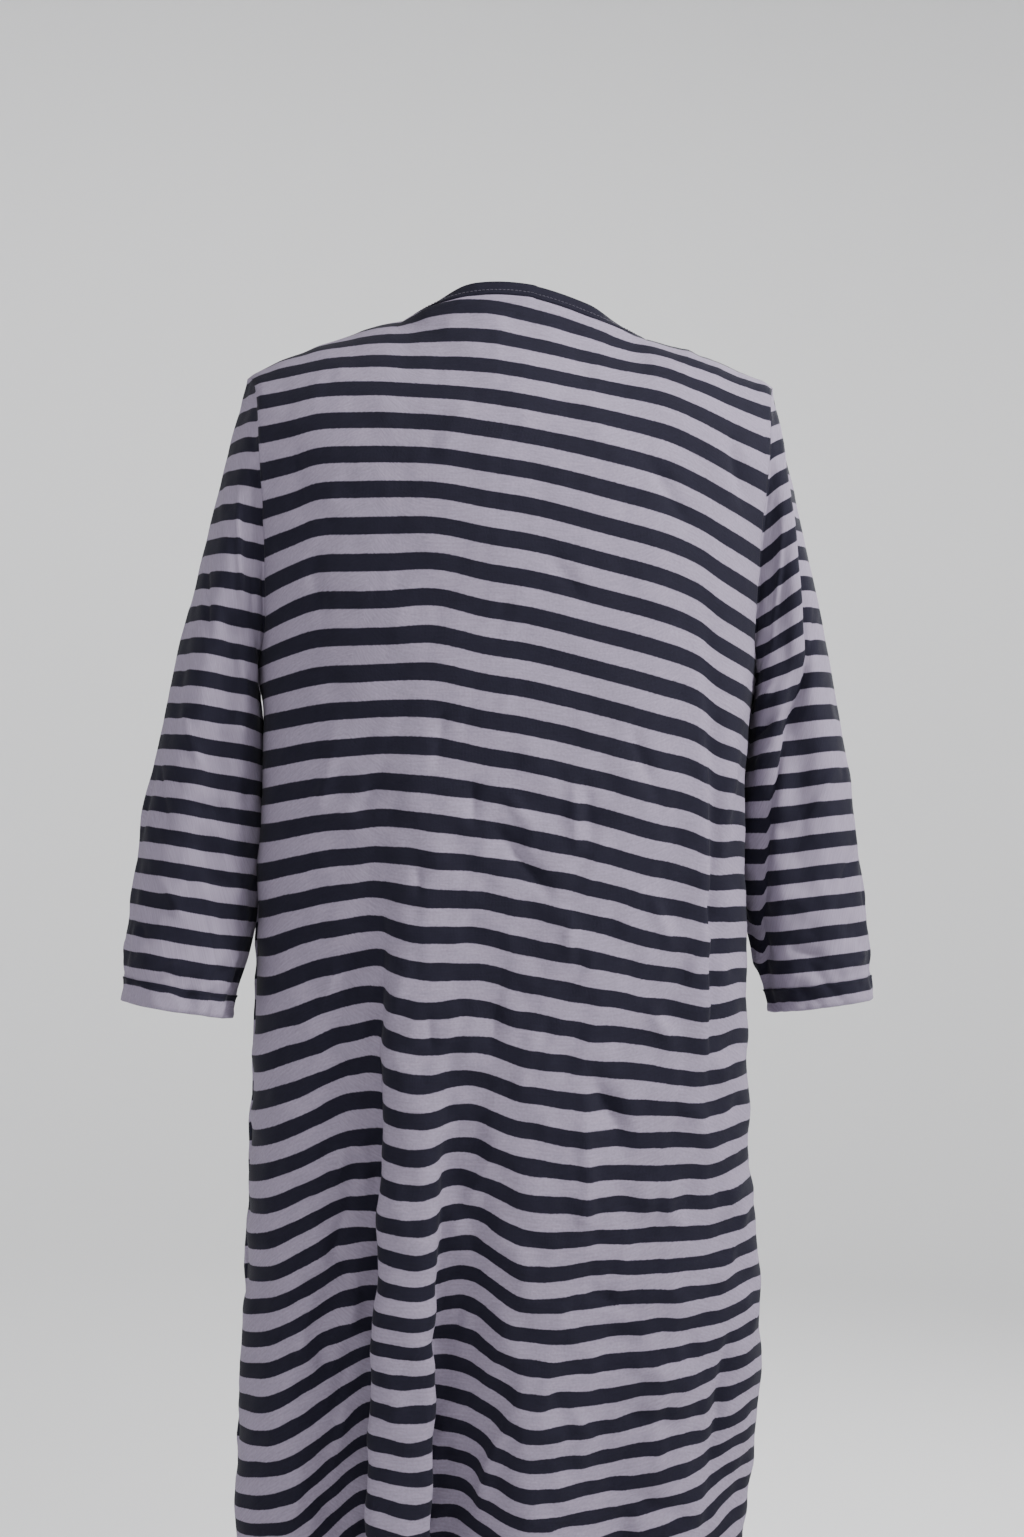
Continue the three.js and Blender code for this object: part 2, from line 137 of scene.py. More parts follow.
# Hanging folds: place and height at the top and at the hem end, width of the soft side toward the
# wearer's right and left, how far the cloth stands out there, is pulled to the left, and sags
FOLD_COLUMNS = ("top_x", "top_z", "end_x", "end_z", "right", "left", "out", "lean", "sag")
FOLDS = {
    "back": [
        (66, -120, 74, -980, 20, 15, 17, 0, 5),
        (83, -320, 86, -980, 7, 7, 4, 9, 0),
        (95, -320, 100, -980, 6, 52, -30, 0, -12),
        (97, -300, 102, -980, 6, 13, 0, -16, 0),
        (43, -480, 46, -980, 27, 7, -22, 0, -8),
        (45, -520, 48, -980, 9, 4, -3, 11, 0),
        (57, -520, 60, -980, 4, 6, 2, -6, 0),
        (-6, -430, -16, -980, 24, 22, 13, 0, 6),
        (-52, -420, -50, -980, 22, 26, 5, 0, 0),
        (-138, -90, -150, -560, 12, 22, -8, 0, 0),
        (-130, -160, -144, -620, 4, 9, 6, -9, 3),
        (-145, -200, -152, -520, 7, 6, -6, 3, 0),
        (-190, -150, -146, -450, 6, 28, 13, -6, 0),
        (-122, -500, -126, -980, 24, 30, 8, 0, 0),
        (150, -480, 148, -980, 24, 26, 9, 0, 4),
        (182, -60, 184, -700, 26, 30, 0, 0, 14),
    ],
    "front": [
        (96, -330, 112, -980, 26, 26, 12, 0, 4),
        (60, -420, 66, -980, 22, 18, -11, 0, -4),
        (14, -380, 6, -980, 30, 26, 9, 0, 3),
        (-44, -460, -54, -980, 22, 20, -12, 0, -4),
        (-96, -310, -108, -980, 28, 28, 12, 0, 4),
        (-148, -500, -156, -980, 18, 24, -8, 0, -3),
        (150, -520, 158, -980, 22, 18, -7, 0, 0),
    ],
}

# Lengthwise folds of a sleeve: turn in degrees, share of the length at both ends, width, out
BOTH_SLEEVES_FOLDS = [
    (62, 0.06, 0.7, 20, 4),
    (96, 0.1, 0.8, 18, -6),
    (128, 0.45, 1.2, 16, 3.5),
    (205, 0.1, 0.7, 24, -4),
    (285, 0.2, 0.95, 22, -4),
]
SLEEVE_FOLDS = {
    "left": [
        *BOTH_SLEEVES_FOLDS,
        (104, 0.8, 1.25, 6, -2),
        (117, 0.74, 1.25, 6, 2.5),
        (131, 0.72, 1.25, 6, -3),
        (146, 0.7, 1.25, 6, 2.8),
        (162, 0.76, 1.25, 7, -2.5),
        (20, 0.5, 1.2, 9, -1.8),
    ],
    "right": [
        *BOTH_SLEEVES_FOLDS,
        (120, 0.78, 1.25, 6, -2),
        (24, 0.55, 1.2, 9, -1.6),
    ],
}

# Creases, listed one by one: both ends, half width, and how far the cloth stands out along them
CREASE_COLUMNS = ("x0", "z0", "x1", "z1", "width", "out")
CREASES = {
    "back": [
        (151, -176, 144, -224, 5, -1.6), (-20, -178, -50, -212, 6, -1.4),
        (-92, -96, -128, -150, 7, -1.6), (-160, -70, -172, -130, 7, -2),
        (168, -90, 160, -150, 7, -1.6), (40, -60, 62, -108, 8, 1.2),
        (54, -296, 61, -332, 5, -1.6), (133, -326, 146, -372, 5, 2),
        (102, -348, 116, -372, 5, -1.6), (71, -405, 70, -430, 4.5, -1.6),
        (32, -344, 32, -378, 5, -2), (10, -352, -14, -380, 5, 1.8),
        (-41, -338, -44, -394, 5, 2.2), (-52, -342, -56, -392, 6, -1.6),
        (18, -374, -32, -434, 6, -2.2), (-41, -440, -39, -476, 5, 2),
        (-84, -300, -104, -352, 6, -1.8), (-98, -420, -118, -462, 6, 1.8),
        (125, -480, 138, -514, 5, 2), (62, -512, 57, -540, 4.5, -1.6),
        (10, -510, 17, -540, 5, -1.6), (-100, -508, -120, -534, 5, 1.8),
        (-60, -560, -84, -600, 6, -1.8), (117, -612, 129, -646, 5, 2.2),
        (113, -648, 127, -692, 5, -2), (127, -680, 148, -708, 5, 2.2),
        (138, -706, 156, -730, 5, -1.8), (105, -716, 114, -752, 5, 2),
        (128, -760, 148, -800, 6, -2), (112, -800, 122, -846, 5, 1.8),
        (-126, -578, -148, -590, 4.5, 1.6), (-112, -654, -134, -668, 4.5, 1.8),
        (-46, -664, -72, -678, 4.5, -1.6), (-80, -758, -128, -776, 4.5, 1.8),
        (-52, -708, -98, -728, 4.5, -1.8), (-53, -560, -56, -690, 7, 2.2),
        (-90, -800, -132, -812, 5, -1.6), (-40, -786, -66, -822, 5, 1.6),
        (-168, -742, -156, -850, 6, -3), (-178, -640, -160, -664, 5, 2),
        (-172, -690, -150, -712, 5, 1.8), (-96, -860, -140, -880, 6, -1.6),
        (6, -820, 14, -870, 6, 1.6),
    ],
    "front": [
        (60, -150, 84, -210, 7, -2), (-64, -140, -90, -205, 7, -2),
        (128, -120, 152, -190, 8, -2.4), (-132, -115, -156, -186, 8, -2.4),
        (20, -240, 44, -290, 6, 1.8), (-30, -260, -58, -318, 6, 2),
        (104, -300, 128, -350, 6, -1.8), (-100, -330, -126, -372, 6, -2),
        (6, -380, -20, -430, 6, -1.8), (74, -420, 92, -470, 6, 2),
        (-70, -440, -92, -496, 6, 1.8), (138, -470, 154, -520, 6, 2),
        (-138, -500, -160, -540, 6, -1.8), (30, -520, 48, -566, 5, -1.8),
        (-16, -560, -40, -604, 6, 1.8), (96, -600, 116, -650, 6, 2),
        (-104, -620, -130, -652, 5, 2), (56, -690, 74, -740, 6, -2),
        (-60, -700, -90, -734, 6, -1.8), (140, -700, 158, -760, 6, -2),
        (-140, -740, -164, -790, 6, 2), (10, -770, 24, -820, 6, 1.8),
        (-30, -820, -62, -856, 6, -1.8), (104, -820, 124, -866, 6, 2),
    ],
}

# Creases of a sleeve, in degrees round it and shares of its length, else as above
SLEEVE_CREASES = {
    "left": [
        (60, 0.12, 96, 0.22, 7, -2), (118, 0.2, 84, 0.32, 6, 1.8),
        (36, 0.3, 70, 0.38, 6, 1.8), (128, 0.38, 96, 0.46, 5, -2),
        (48, 0.5, 84, 0.55, 5, -2), (110, 0.56, 74, 0.62, 5, 2),
        (30, 0.6, 62, 0.68, 5, 1.8), (132, 0.66, 100, 0.7, 4.5, 2),
        (56, 0.74, 88, 0.78, 4.5, -2), (24, 0.82, 60, 0.86, 4.5, 1.8),
        (96, 0.86, 70, 0.92, 4.5, -1.8), (-20, 0.3, 10, 0.38, 6, 2),
        (-60, 0.5, -20, 0.56, 6, -2), (-100, 0.3, -70, 0.4, 7, 2),
        (-120, 0.62, -80, 0.7, 6, -2), (-50, 0.8, -20, 0.86, 5, 1.8),
    ],
    "right": [
        (66, 0.1, 100, 0.18, 7, -1.8), (150, 0.22, 118, 0.3, 5, -2.6),
        (148, 0.32, 112, 0.37, 5, 2.6), (142, 0.4, 108, 0.44, 5, -2.6),
        (46, 0.34, 78, 0.4, 6, 1.6), (132, 0.52, 104, 0.6, 5, 2),
        (60, 0.56, 88, 0.6, 5, -1.8), (128, 0.68, 100, 0.73, 5, -2.2),
        (36, 0.7, 70, 0.74, 5, 1.6), (120, 0.8, 92, 0.86, 4.5, 2),
        (40, 0.88, 76, 0.9, 4.5, -1.6), (-20, 0.26, 14, 0.34, 6, 1.8),
        (-64, 0.46, -24, 0.52, 6, -2), (-104, 0.34, -70, 0.42, 7, 2),
        (-116, 0.64, -76, 0.7, 6, -2), (-40, 0.84, -12, 0.9, 5, 1.8),
    ],
}

# The sharp lengthwise ridge of the right sleeve: its place, how steeply the stripes fall away from
# it toward the body, its height and width, the hollow beside it, and how far the stripes jump at it
RIDGE = {
    "z": [-20, -108, -197, -235, -277, -361, -404, -438, -473, -520],
    "x": [-213, -220, -227, -227, -218, -199, -199, -198, -203, -206],
    "fall": [0.6, 0.6, 0.6, 0.45, 0.2, -0.15, -0.3, -0.25, -0.05, 0],
}
RIDGE_OUT = 5.5
RIDGE_WIDTH = 5
RIDGE_DIP = 4
RIDGE_SLIP = 7

# Height of every third dark stripe on the middle of the back
STRIPE_LEVELS = {
    "z": [-874, -813, -746, -679, -608, -534, -457, -379, -298, -216, -135, -108],
    "number": [36, 33, 30, 27, 24, 21, 18, 15, 12, 9, 6, 5],
}
STRIPE_REPEAT = 27
SLEEVE_STRIPE_REPEAT = 24.5

# How much higher than an even repeat the stripes of each sleeve run, for heights down it
SLEEVE_RISE = {
    "left": {"z": [-103, -150, -198, -247, -293, -340, -385, -430, -475, -500],
             "rise": [11.5, 6, 3.5, 1.5, 0.7, 1.4, 3, 4.5, 7.2, 7.4]},
    "right": {"z": [-100, -180, -243, -300, -360, -410, -450, -490, -510],
              "rise": [-9, -8.5, -10.5, -12, -12.5, -11.5, -9.5, -6, -5]},
}

# How much higher than on the middle of the back the stripes run beside it, for heights down it
STRIPE_RISE = {
    "x": [-190, -174, -154, -134, -108, -62, -10, 26, 62, 98, 120, 150, 170, 190],
    "z": [-30, -135, -216, -298, -379, -457, -534, -608, -701, -791, -880],
    "rise": [
        [-47, -44, -38, -31, -22, -14, -9, -4, -1, 2, 3, 3, 1, -1],
        [-55, -50, -43, -35, -27, -18, -7, -2, 4, 5, 5, 5, -1, -4],
        [-59, -55, -47, -35, -27, -18, -7, -2, 6, 4, 4, 5, 0, -8],
        [-56, -53, -45, -32, -27, -17, -6, -1, 6, 6, 5, 5, 5, 5],
        [-37, -35, -37, -30, -26, -16, -6, 0, 5, 7, 5, 5, 6, 6],
        [-30, -29, -31, -30, -27, -16, -7, 0, 2, 7, 4, 1, 2, 1],
        [-20, -20, -25, -26, -22, -17, -9, 0, -1, 5, 0, -8, -8, -10],
        [-11, -15, -20, -21, -20, -18, -11, -1, -3, -4, -4, -16, -20, -24],
        [-4, -9, -14, -15, -15, -16, -15, -2, -8, -5, -7, -20, -29, -33],
        [7, 1, -7, -11, -13, -18, -14, -4, -1, -2, -13, -24, -31, -35],
        [15, 9, -4, -9, -14, -20, -16, -7, -9, -4, -18, -32, -37, -41],
    ],
}

# Below the lowest measured stripe, down to the hem
HEM_STRIPE_REPEAT = 21.5

# Above this height the stripes are counted along the cloth, over the shoulders
SHOULDER_LEVEL = {"z": -110, "blend": 20}

# A dark stripe ends between these shares of a repeat from its middle
STRIPE_EDGE = (0.232, 0.254)

# Strength of the wrinkles and creases, and how much each mm of them moves the stripes
PANEL_WRINKLES = {"wrinkle": 1.8, "crease": 2, "stripe": 0.3}
SLEEVE_WRINKLES = {"wrinkle": 1.4, "crease": 1.6, "stripe": 0.25}
WRINKLE_SEEDS = {"back": 11, "front": 31, "left": 51, "right": 71}
PUCKER_SEED = 5
WOBBLE_SEED = 17

# A sleeve laid flat: mm for each degree round it, and its length
SLEEVE_FLAT = (0.84, 500)

# Colours, linear
LIGHT_STRIPE = (0.234, 0.203, 0.270)
DARK_STRIPE = (0.0085, 0.0078, 0.0165)
BINDING_COLOR = (0.0085, 0.0078, 0.0160)
THREAD_COLOR = (0.075, 0.068, 0.095)
FLOOR_COLOR = (0.90, 0.90, 0.905)

# The jersey's uneven dye: size of a cell across and down the cloth in mm, noise detail, share of
# the colour, and share of a repeat that it moves a stripe's edge
DYE = {
    "heather": {"cell": (2.2, 1.8, 3), "colour": 0.22, "edge": 0.012},
    "slub": {"cell": (16, 1.5, 2), "colour": 0.18, "edge": 0.008},
    "fade": {"cell": (70, 90, 2), "colour": 0.10, "edge": 0},
}

# The knit: distance between its columns and between its rows, and the bump that it makes
KNIT = {"column": 1.05, "row": 0.85, "strength": 0.35, "height": 0.25}

# The camera: turn and roll in degrees, distance, eye height and shift aside in metres, and the
# focal length and the places of the horizon and the middle line in pixels of the photograph
CAMERA = {"turn": 5, "roll": 1, "distance": 1.65, "eye": -0.452, "aside": 0.00447}
PHOTO = {"focal": 2135, "horizon": 930, "middle": 768.5}
LENS = {"length": 50, "sensor": 36}

# Studio in metres: the floor, which bends up into a wall, and lights with place, target, size, power
FLOOR = {"level": -1.4, "flat": 4.5, "bend": 2.5, "top": 3.6}
LIGHTS = {
    "key": ((-1.3, 0.85, 0.72), (0, 0, -0.3), 0.4, 56),
    "fill": ((1.3, 1.8, 0.7), (0, 0, -0.45), 1.2, 12),
    "top": ((0, 0.9, 1.5), (0, 0, -0.45), 0.8, 12),
    "behind": ((-1.3, -2.2, 1.2), (0, 0, -0.45), 0.8, 66),
}
WALL_LIGHTS = {"count": 6, "out": 3.4, "up": 2.6, "aim": 7, "size": 2.0, "power": 75}
SKY = {"color": (0.80, 0.81, 0.83, 1), "strength": 0.2}


def mix(a, b, t):
    """The value a share t of the way from a to b."""
    return a + (b - a) * t


def smooth(t):
    """Eases from 0 to 1 while t goes from 0 to 1."""
    s = np.clip(t, 0, 1)
    return s * s * (3 - 2 * s)


def quarter_round(t):
    """Height of a quarter circle that starts steep at 0 and is level at 1."""
    return np.sqrt(1 - (1 - np.clip(t, 0, 1)) ** 2)


def read(table, key, place, column):
    """Reads a column of a table at places between its rows, as a smooth curve through them."""
    keys = np.array(table[key], float)
    values = np.array(table[column], float)
    at = np.asarray(place, float)
    if keys[-1] < keys[0]:
        keys, at = -keys, -at
    slopes = np.empty_like(values)
    slopes[1:-1] = (values[2:] - values[:-2]) / (keys[2:] - keys[:-2])
    slopes[0] = (values[1] - values[0]) / (keys[1] - keys[0])
    slopes[-1] = (values[-1] - values[-2]) / (keys[-1] - keys[-2])
    low = np.clip(np.searchsorted(keys, at) - 1, 0, len(keys) - 2)
    span = keys[low + 1] - keys[low]
    t = np.clip((at - keys[low]) / span, 0, 1)
    t2, t3 = t * t, t * t * t
    return (
        (2 * t3 - 3 * t2 + 1) * values[low]
        + (t3 - 2 * t2 + t) * slopes[low] * span
        + (3 * t2 - 2 * t3) * values[low + 1]
        + (t3 - t2) * slopes[low + 1] * span
    )


def read_chart(chart, column, x, z):
    """Reads a chart that has a row for each height: smoothly across it, evenly down it."""
    rows = np.stack([read({"x": chart["x"], "row": row}, "x", x, "row") for row in chart[column]])
    at = np.interp(-z, -np.array(chart["z"]), np.arange(len(rows)))
    low = np.minimum(at.astype(int), len(rows) - 2)
    above, below = (np.take_along_axis(rows, (low + i)[None], 0)[0] for i in (0, 1))
    return mix(above, below, at - low)


def cell_noise(u, v, seed):
    """Smooth seeded noise from -1 to 1, with a new value about each unit."""
    size = 97
    table = np.random.default_rng(seed).uniform(-1, 1, (size, size))
    column, row = np.floor(u).astype(int), np.floor(v).astype(int)
    across, down = smooth(u - column), smooth(v - row)
    corner = [[table[(column + i) % size, (row + j) % size] for i in (0, 1)] for j in (0, 1)]
    return mix(mix(*corner[0], across), mix(*corner[1], across), down)


def crumple(u, v, seed):
    """Fine uneven wrinkles of worn jersey, from about -1 to 1 mm, slanting both ways."""
    broad = cell_noise((u + 0.4 * v) / 26, v / 50, seed)
    crossing = cell_noise((u - 0.5 * v) / 17, v / 34, seed + 1)
    small = cell_noise((u + 0.2 * v) / 8, v / 17, seed + 2)
    sharp = 0.5 - np.abs(cell_noise((u + 0.35 * v) / 21, v / 44, seed + 3))
    return 0.8 * broad + 0.7 * crossing + 0.5 * small + 1.2 * sharp


def crease_height(creases, u, v, scale=(1, 1)):
    """How far the listed creases move the cloth out; scale turns their places into mm."""
    total = np.zeros_like(u)
    for row in creases:
        crease = dict(zip(CREASE_COLUMNS, row))
        u0, v0 = crease["x0"] * scale[0], crease["z0"] * scale[1]
        run, rise = crease["x1"] * scale[0] - u0, crease["z1"] * scale[1] - v0
        length = math.hypot(run, rise)
        along = ((u - u0) * run + (v - v0) * rise) / length**2
        beside = ((u - u0) * rise - (v - v0) * run) / length
        ends = smooth((along + 0.15) / 0.5) * smooth((1.15 - along) / 0.5)
        total += crease["out"] * ends * np.exp(-np.abs(beside / crease["width"]) ** 1.6)
    return total


def fold_shape(folds, x, z):
    """How far the hanging folds move the cloth out and to the left, and how far it sags there."""
    total = {"out": np.zeros_like(x), "lean": np.zeros_like(x), "sag": np.zeros_like(x)}
    for row in folds:
        fold = dict(zip(FOLD_COLUMNS, row))
        drop = (fold["top_z"] - z) / (fold["top_z"] - fold["end_z"])
        offset = x - mix(fold["top_x"], fold["end_x"], np.clip(drop, 0, 1))
        width = np.where(offset > 0, fold["left"], fold["right"]) * mix(1.5, 1, smooth(drop))
        fade = 1 if fold["end_z"] < HEM_Z else 1 - smooth((drop - 0.6) / 0.4)
        share = smooth(drop * 1.25) * fade * np.exp(-((offset / width) ** 2))
        share = np.where(drop < 1.15, share, 0)
        for key in total:
            total[key] += fold[key] * share
    return total


def top_edge(place, face):
    """The top edge of a panel: the neckline in the middle, a shoulder seam on each side."""
    neck = NECK[face]
    reach = np.abs(place)
    side = np.sign(place)
    neck_z = np.where(place < 0, SHOULDER["right"][0], SHOULDER["left"][0])
    tip_z = np.where(place < 0, SHOULDER["right"][1], SHOULDER["left"][1])
    along = np.clip((reach - NECK_SHARE) / (1 - NECK_SHARE), 0, 1)
    across = np.clip(place / NECK_SHARE, -1, 1)
    angle = np.abs(across) * math.pi / 2
    from_peak = np.abs(across - neck["peak"] * (1 - across * across))
    cosine = np.clip(np.cos(from_peak * math.pi / 2), 0, 1)
    on_seam = reach >= NECK_SHARE - 1e-9
    seam_x = side * mix(NECK_HALF, TIP_HALF, along) + NECK_SHIFT * (1 - along)
    x = np.where(on_seam, seam_x, side * NECK_HALF * np.sin(angle) + NECK_SHIFT)
    y = np.where(on_seam, 0, neck["y"] * cosine ** neck["round"])
    seam_z = mix(neck_z, tip_z, along ** SHOULDER_BOW)
    z = np.where(on_seam, seam_z, mix(neck_z, neck["z"], cosine ** neck["rise"]))
    return x, y, z


def row_share(even, place):
    """A row's share of the way down to the underarm, close together at the armhole's ends."""
    edge = (1 - np.cos(math.pi * even)) / 2
    inner = 1 - np.cos(math.pi * even / 2)
    return mix(inner, edge, np.abs(place) ** 5)


def armhole_depth(share, face):
    """How far back or forward the armhole's edge lies, rounded in to the underarm."""
    under = np.clip((share - (1 - UNDERARM_ROUND)) / UNDERARM_ROUND, 0, 1)
    return read(ARMHOLE, "share", share, face) * np.sqrt(1 - under * under)


def upper_points(place, share, face):
    """Points of a panel beside the armhole, turned over the shoulder from the top edge."""
    top_x, top_y, top_z = top_edge(place, face)
    z = mix(top_z, UNDERARM_Z, share)
    depth = read(CHEST, "z", mix(NECK[face]["z"], UNDERARM_Z, share), face)
    edge_depth = np.abs(armhole_depth(share, face)) / depth
    end_angle = np.arccos(np.clip(edge_depth, 0, 1) ** (1 / PANEL_ROUND[face]))
    angle = np.abs(place) * end_angle
    turn_share, turn_round = SHOULDER_TURN[face]
    over = np.clip(share / turn_share, 0, 1)
    ridge = turn_round * np.clip(np.abs(place) / NECK_SHARE, 0, 1) ** 2
    turn = mix(np.sin(over * math.pi / 2), quarter_round(over), ridge)
    y = mix(top_y, OUTWARD[face] * depth * np.cos(angle) ** PANEL_ROUND[face], turn)
    flare = FLARE["out"] * smooth((share - FLARE["start"]) / (1 - FLARE["start"]))
    wide = read(ARMHOLE, "share", share, "half") * np.sin(angle)
    side = np.sign(place)
    x = mix(top_x, side * wide, turn) + side * flare * np.abs(place) ** FLARE["edge"]
    return np.stack([x, y, z], -1)


def lower_points(place, z, face):
    """Points of a panel between the underarm and the hem."""
    reach = np.abs(place)
    flare = FLARE["out"] * reach ** FLARE["edge"]
    flare = flare * (1 - smooth((UNDERARM_Z - z) / FLARE["height"]))
    half = np.where(place < 0, read(TORSO, "z", z, "right"), read(TORSO, "z", z, "left"))
    x = np.sign(place) * (half * np.sin(reach * math.pi / 2) + flare)
    cosine = np.clip(np.cos(place * math.pi / 2), 0, 1)
    y = OUTWARD[face] * read(TORSO, "z", z, face) * cosine ** PANEL_ROUND[face]
    return np.stack([x, y, z], -1)


def column_places(face):
    """Places of a panel's columns, from the wearer's right (-1) to the left (+1)."""
    right_columns, left_columns = NECK_COLUMNS[face]
    outer = -1 + (1 - NECK_SHARE) * np.arange(SHOULDER_COLUMNS) / SHOULDER_COLUMNS
    right = NECK_SHARE * np.linspace(-1, 0, right_columns + 1)
    left = NECK_SHARE * np.linspace(0, 1, left_columns + 1)[1:]
    return np.concatenate([outer, right, left, -outer[::-1]])


def panel_base(face):
    """A panel's plain middle surface, rows from the top edge to the hem, before its folds."""
    places = column_places(face)
    even = np.linspace(0, 1, ARMHOLE_ROWS + 1)
    place, fall = np.meshgrid(places, even)
    upper = upper_points(place, row_share(fall, place), face)
    hem_top = HEM_Z + TURN_UP["hem"] + HEM_MARGIN
    skirt = np.linspace(UNDERARM_Z, hem_top, SKIRT_ROWS + 1)[1:]
    heights = np.concatenate([skirt, np.linspace(hem_top, HEM_Z, HEM_ROWS + 1)[1:]])
    place, z = np.meshgrid(places, heights)
    return np.concatenate([upper, lower_points(place, z, face)])


def panel_form(face):
    """The panel with its main folds, and how far the cloth sags at each point."""
    points = panel_base(face)
    inside = np.clip(np.cos(column_places(face) * math.pi / 2), 0, 1) ** 0.5
    folds = fold_shape(FOLDS[face], points[..., 0], points[..., 2])
    points[..., 1] += OUTWARD[face] * folds["out"] * inside
    points[..., 0] += folds["lean"] * inside
    return points, folds["sag"]


def sleeve_form(name, back, front):
    """A sleeve's middle surface, rows from the armhole to the cuff, closed round."""
    hang = SLEEVES[name]
    side = hang["side"]
    edge = -1 if side > 0 else 0
    seam = np.concatenate([back[: ARMHOLE_ROWS + 1, edge], front[ARMHOLE_ROWS - 1 : 0 : -1, edge]])
    count = len(seam)
    turns = np.arange(count) / count * 2 * math.pi
    main_shares = (np.arange(SLEEVE_ROWS + 1) / SLEEVE_ROWS) ** SLEEVE_ROW_EASE * CUFF_START
    shares = np.concatenate([main_shares, np.linspace(CUFF_START, 1, CUFF_ROWS + 1)[1:]])

    def tube(turn, t):
        """Points of the hanging sleeve before it is joined to the armhole."""
        at = t * (len(SLEEVE["index"]) - 1)
        value = {key: read(SLEEVE, "index", at, key) for key in SLEEVE if key != "index"}
        out = np.zeros_like(turn + t)
        for fold_turn, start, end, width, height in SLEEVE_FOLDS[name]:
            share = (t - start) / (end - start)
            angle = turn - math.radians(fold_turn)
            turned = np.arctan2(np.sin(angle), np.cos(angle))
            bell = np.exp(-((turned * SLEEVE_RADIUS / width) ** 2))
            lift = height * np.sin(np.clip(share, 0, 1) * math.pi) * bell
            out += np.where((share > 0) & (share < 1), lift, 0)
        size = 1 + out / SLEEVE_HALF_DEPTH
        centre_x = (value["out_x"] + value["in_x"]) / 2 + hang["spread"] * t * t
        centre_y = hang["swing"] * t * t + hang["bow"] * np.sin(math.pi * np.clip(t, 0, 1))
        centre_z = (value["out_z"] + value["in_z"]) / 2 + hang["lift"] * t * t
        half_x = (value["out_x"] - value["in_x"]) / 2
        half_z = (value["out_z"] - value["in_z"]) / 2
        x = side * (centre_x + half_x * np.cos(turn) * size)
        y = centre_y + value["depth"] * np.sin(turn) * size
        z = centre_z + half_z * np.cos(turn)
        return np.stack([x, y, z], -1)

    turn, t = np.meshgrid(turns, shares)
    hold = (1 - smooth(t / CAP_BLEND))[..., None]
    shift = seam - tube(turns, np.zeros(count))
    return tube(turn, t) + shift * hold, turn, t


def grid_normals(points, closed, outward):
    """Unit normals of a grid of points, turned outward."""
    down = np.gradient(points, axis=0)
    if closed:
        across = np.roll(points, -1, 1) - np.roll(points, 1, 1)
    else:
        across = np.gradient(points, axis=1)
    normal = np.cross(across, down)
    normal /= np.linalg.norm(normal, axis=-1, keepdims=True) + 1e-12
    return normal * outward


def arc_lengths(points, axis, closed=False):
    """Lengths along the grid's rows (axis 1) or columns (axis 0) from their start."""
    if closed:
        points = np.concatenate([points, points[:, :1]], 1)
    step = np.linalg.norm(np.diff(points, axis=axis), axis=-1)
    start = np.zeros_like(np.take(step, [0], axis))
    return np.concatenate([start, np.cumsum(step, axis)], axis)


def up_from_edge(points, values, distance):
    """Values at a distance up from the lower edge, measured along each column of points."""
    lengths = arc_lengths(points[::-1], 0)
    found = np.empty_like(values[0])
    for column in range(values.shape[1]):
        for part in range(values.shape[2]):
            upward = values[::-1, column, part]
            found[column, part] = np.interp(distance, lengths[:, column], upward)
    return found


def seam_roll(distance):
    """Height of the soft roll of cloth beside a seam, which itself stays low."""
    return 1 - np.exp(-((distance / 3) ** 2))


def turn_up(points, normals, cloth, depth):
    """Adds rows that fold the lower edge inside and up, as a sewn hem."""
    edge = cloth[-1]
    point_rows = [points[-1] - LAYER_STEP / 2 * normals[-1] - [0, 0, FOLD_DROP]]
    cloth_rows = [edge + [0, LAYER_STEP / 2, 0]]
    for distance in np.linspace(0, depth, TURN_UP_ROWS):
        place = up_from_edge(points, points, distance)
        normal = up_from_edge(points, normals, distance)
        above = up_from_edge(points, cloth[:, : points.shape[1]], distance)
        point_rows.append(place - LAYER_STEP * normal)
        folded = 2 * edge[: points.shape[1]] - above
        folded[:, 0] = above[:, 0]
        if cloth.shape[1] > points.shape[1]:
            last = 2 * edge[-1] - up_from_edge(points[:, :1], cloth[:, -1:], distance)[0]
            last[0] = edge[-1, 0]
            folded = np.concatenate([folded, [last]])
        cloth_rows.append(folded)
    return np.concatenate([points, point_rows]), np.concatenate([cloth, cloth_rows])


def add_object(name, data):
    """Puts a new object with this data in the scene."""
    piece = bpy.data.objects.new(name, data)
    bpy.context.scene.collection.objects.link(piece)
    return piece


def add_mesh(name, verts, faces):
    """Puts a new smooth mesh in the scene."""
    mesh = bpy.data.meshes.new(name)
    mesh.from_pydata(verts, [], faces)
    mesh.polygons.foreach_set("use_smooth", np.ones(len(mesh.polygons), bool))
    return add_object(name, mesh)


def cloth_mesh(name, points, cloth, closed, outward):
    """A mesh of a grid, with the cloth's own coordinates kept at the corners of its faces."""
    rows, columns = points.shape[:2]
    row, column = np.mgrid[: rows - 1, : columns if closed else columns - 1]
    ends = [(row, column), (row, column + 1), (row + 1, column + 1), (row + 1, column)]
    quads = np.stack([line * columns + place % columns for line, place in ends], -1)
    quads = quads.reshape(-1, 4)
    loops = np.stack([cloth[line, place] for line, place in ends], -2).reshape(-1, 4, 3)
    if outward < 0:
        quads = quads[:, ::-1]
        loops = loops[:, ::-1]
    piece = add_mesh(name, (points.reshape(-1, 3) * MM).tolist(), quads.tolist())
    attribute = piece.data.attributes.new("cloth", "FLOAT_VECTOR", "CORNER")
    attribute.data.foreach_set("vector", loops.reshape(-1).astype(np.float32))
    wall = piece.modifiers.new("wall", "SOLIDIFY")
    wall.thickness = CLOTH_THICK * MM
    wall.offset = 0
    return piece


